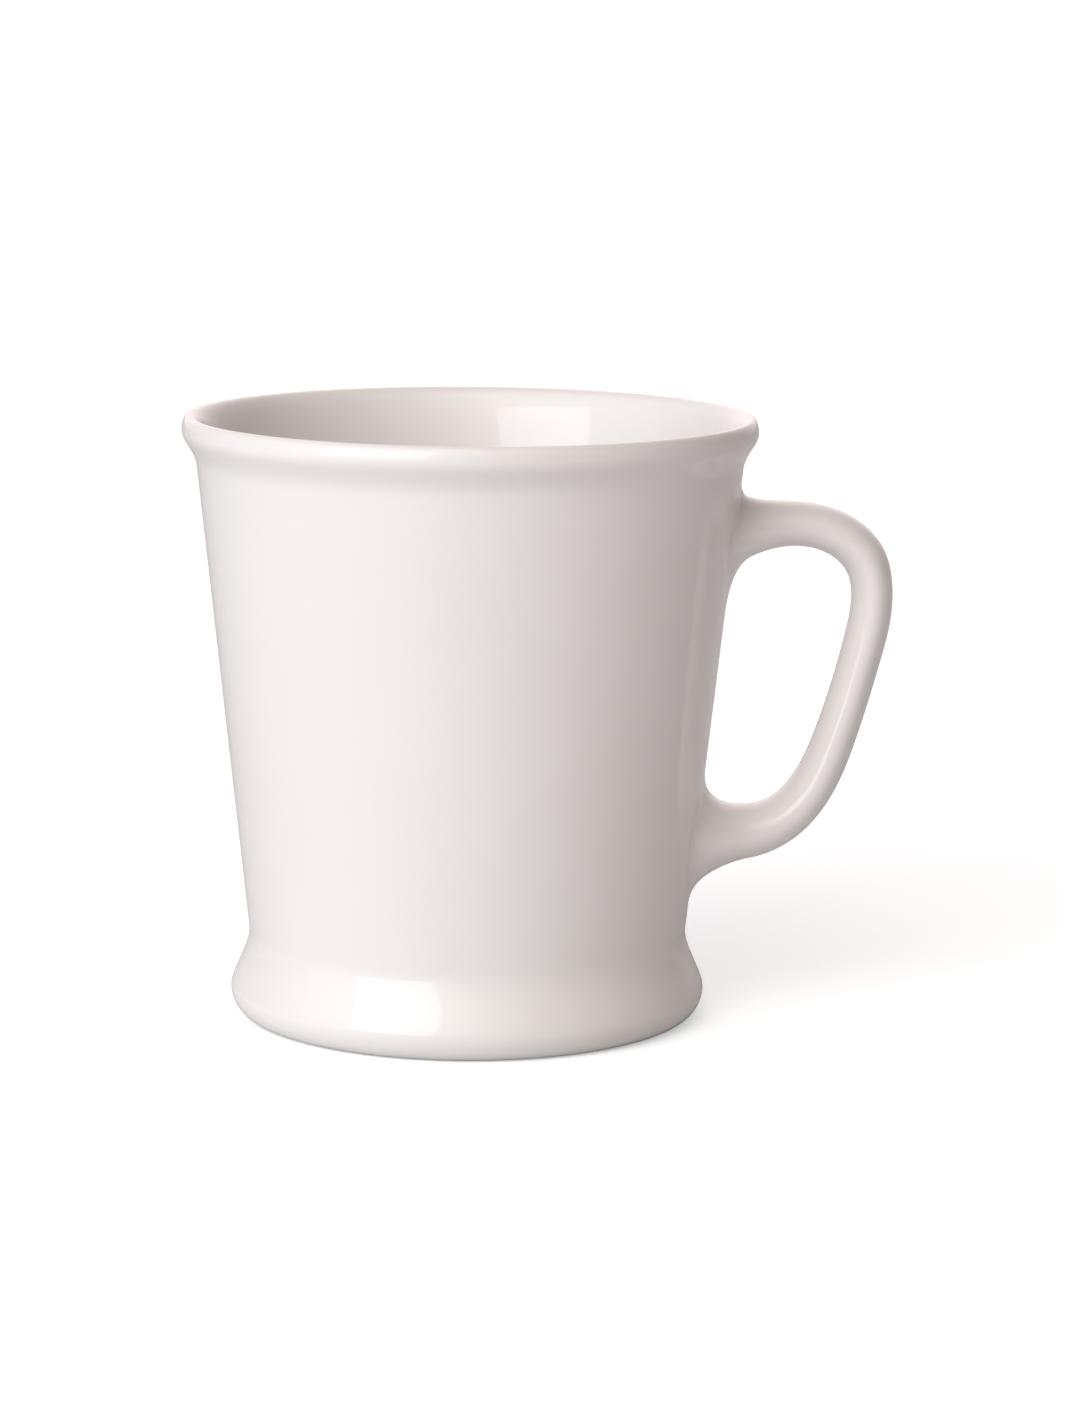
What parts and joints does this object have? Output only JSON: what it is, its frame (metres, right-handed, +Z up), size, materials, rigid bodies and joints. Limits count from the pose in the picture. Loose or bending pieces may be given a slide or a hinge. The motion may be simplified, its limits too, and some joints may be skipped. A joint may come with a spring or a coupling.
{
  "type": "shaving mug",
  "caption": "One-handled glazed ceramic mug with a rolled lip, a tapered wall and a flared foot; holds shaving lather or a drink.",
  "frame": {"origin": "on the cup's axis, in the plane that the foot ring stands on; the middle of the shallow recess under the foot is 0.75 mm above it", "axes": "+Z up along the cup's axis, +X from the axis towards the handle, the handle lies in the plane Y = 0"},
  "size_m": [0.114, 0.092, 0.097],
  "materials": {
    "glazed_cup": "warm white clear-glossy glaze, thinner over the lip, bare fired clay on the foot ring",
    "glazed_handle": "warm white clear-glossy glaze",
    "glazed_slip": "joining slip under the same glossy glaze"
  },
  "bodies": {
    "root": {"cup_body": "glazed_cup", "handle": "glazed_handle", "upper_slip_joint": "glazed_slip", "lower_slip_joint": "glazed_slip"}
  },
  "joints": []
}
